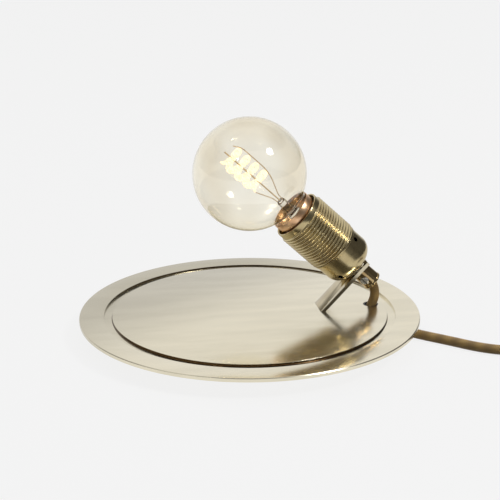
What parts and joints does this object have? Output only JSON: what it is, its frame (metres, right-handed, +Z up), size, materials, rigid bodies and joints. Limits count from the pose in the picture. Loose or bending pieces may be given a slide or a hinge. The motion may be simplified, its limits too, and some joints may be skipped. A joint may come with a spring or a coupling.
{
  "type": "bare bulb table lamp",
  "caption": "Table lamp with a round brass plate on rubber feet, a bent strip that holds a slanted threaded lampholder with a clear globe bulb, and a textile cord with switch and plug.",
  "frame": {"origin": "centre of the round plate, on the surface that the rubber feet stand on", "axes": "+Z up, +X from the plate's centre towards the bracket and the cord hole, the bulb leans back towards -X"},
  "size_m": [0.5259, 0.2788, 0.1575],
  "materials": {
    "plate_brass": "satin",
    "bracket_brass": "satin",
    "holder_brass": "antique, polished",
    "grip_brass": "antique, polished",
    "cap_brass": "bright",
    "nipple_steel": "zinc plated",
    "screw_steel": "nickel plated",
    "clamp_steel": "zinc plated",
    "shell_nickel": "nickel plated",
    "pin_nickel": "nickel plated",
    "contact_tin": "tinned",
    "wire_nickel": "drawn wire",
    "filament_metal": "glowing",
    "foot_rubber": "matte",
    "bush_plastic": "matte",
    "ceramic_white": "glazed porcelain",
    "insulator_black": "vitrified glass",
    "core_insulation": "soft",
    "bulb_glass": "clear, faintly warm",
    "stem_glass": "clear",
    "cord_textile": "braided, golden brown",
    "switch_plastic": "satin",
    "rocker_plastic": "gloss",
    "plug_plastic": "satin"
  },
  "bodies": {
    "root": {"base_plate": "plate_brass", "bracket": "bracket_brass", "bracket_screws": "screw_steel", "centre_contact": "shell_nickel", "ceramic_insert": "ceramic_white", "conductors": "core_insulation", "cord_bush": "bush_plastic", "cord_clamp": "clamp_steel", "cord_clamp_screws": "screw_steel", "cord_coil": "cord_textile", "cord_grip": "grip_brass", "cord_lead": "cord_textile", "cord_through": "cord_textile", "dome_cap": "holder_brass", "earth_screw": "screw_steel", "foot_1": "foot_rubber", "foot_2": "foot_rubber", "foot_3": "foot_rubber", "foot_4": "foot_rubber", "foot_screws": "screw_steel", "lock_washer": "nipple_steel", "plug_body": "plug_plastic", "plug_earth_clips": "pin_nickel", "plug_pins": "pin_nickel", "screw_shell": "shell_nickel", "switch_base": "switch_plastic", "switch_cover": "switch_plastic", "terminal_screws": "screw_steel", "threaded_nipple": "nipple_steel", "threaded_sleeve": "holder_brass"},
    "bulb_contact": {"tip_contact": "contact_tin"},
    "bulb": {"bulb_glass": "bulb_glass", "bulb_cap": "cap_brass", "cap_insulator": "insulator_black", "glass_stem": "stem_glass", "filament": "filament_metal", "filament_wires": "wire_nickel"},
    "grip_pad": {"grip_pad": "screw_steel"},
    "grip_screw": {"grip_screw": "screw_steel"},
    "rocker": {"switch_rocker": "rocker_plastic"}
  },
  "joints": [
    {"name": "bulb_slide", "type": "slide", "parent": "root", "child": "bulb_contact", "axis": [-0.7278, 0, 0.6858], "range_m": [0, 0.01815]},
    {"name": "bulb_turn", "type": "hinge", "parent": "bulb_contact", "child": "bulb", "pos_m": [0.0336, 0, 0.0862], "axis": [-0.7278, 0, 0.6858], "range_deg": [0, 1800]},
    {"name": "grip_pad_slide", "type": "slide", "parent": "root", "child": "grip_pad", "axis": [-0.3272, -0.8788, -0.3473], "range_m": [0, 0.0021]},
    {"name": "grip_screw_turn", "type": "hinge", "parent": "grip_pad", "child": "grip_screw", "pos_m": [0.08524, 0, 0.03754], "axis": [-0.3272, -0.8788, -0.3473], "range_deg": [0, 1080]},
    {"name": "rocker_tilt", "type": "hinge", "parent": "root", "child": "rocker", "pos_m": [0.21391, -0.08958, 0.015], "axis": [-0.2588, -0.9659, 0], "range_deg": [0, 16]}
  ],
  "couplings": [
    {"joint": "bulb_slide", "follows": "bulb_turn", "m_per_rad": 0.00057757},
    {"joint": "grip_screw_turn", "follows": "grip_pad_slide", "rad_per_m": 8975.9}
  ]
}
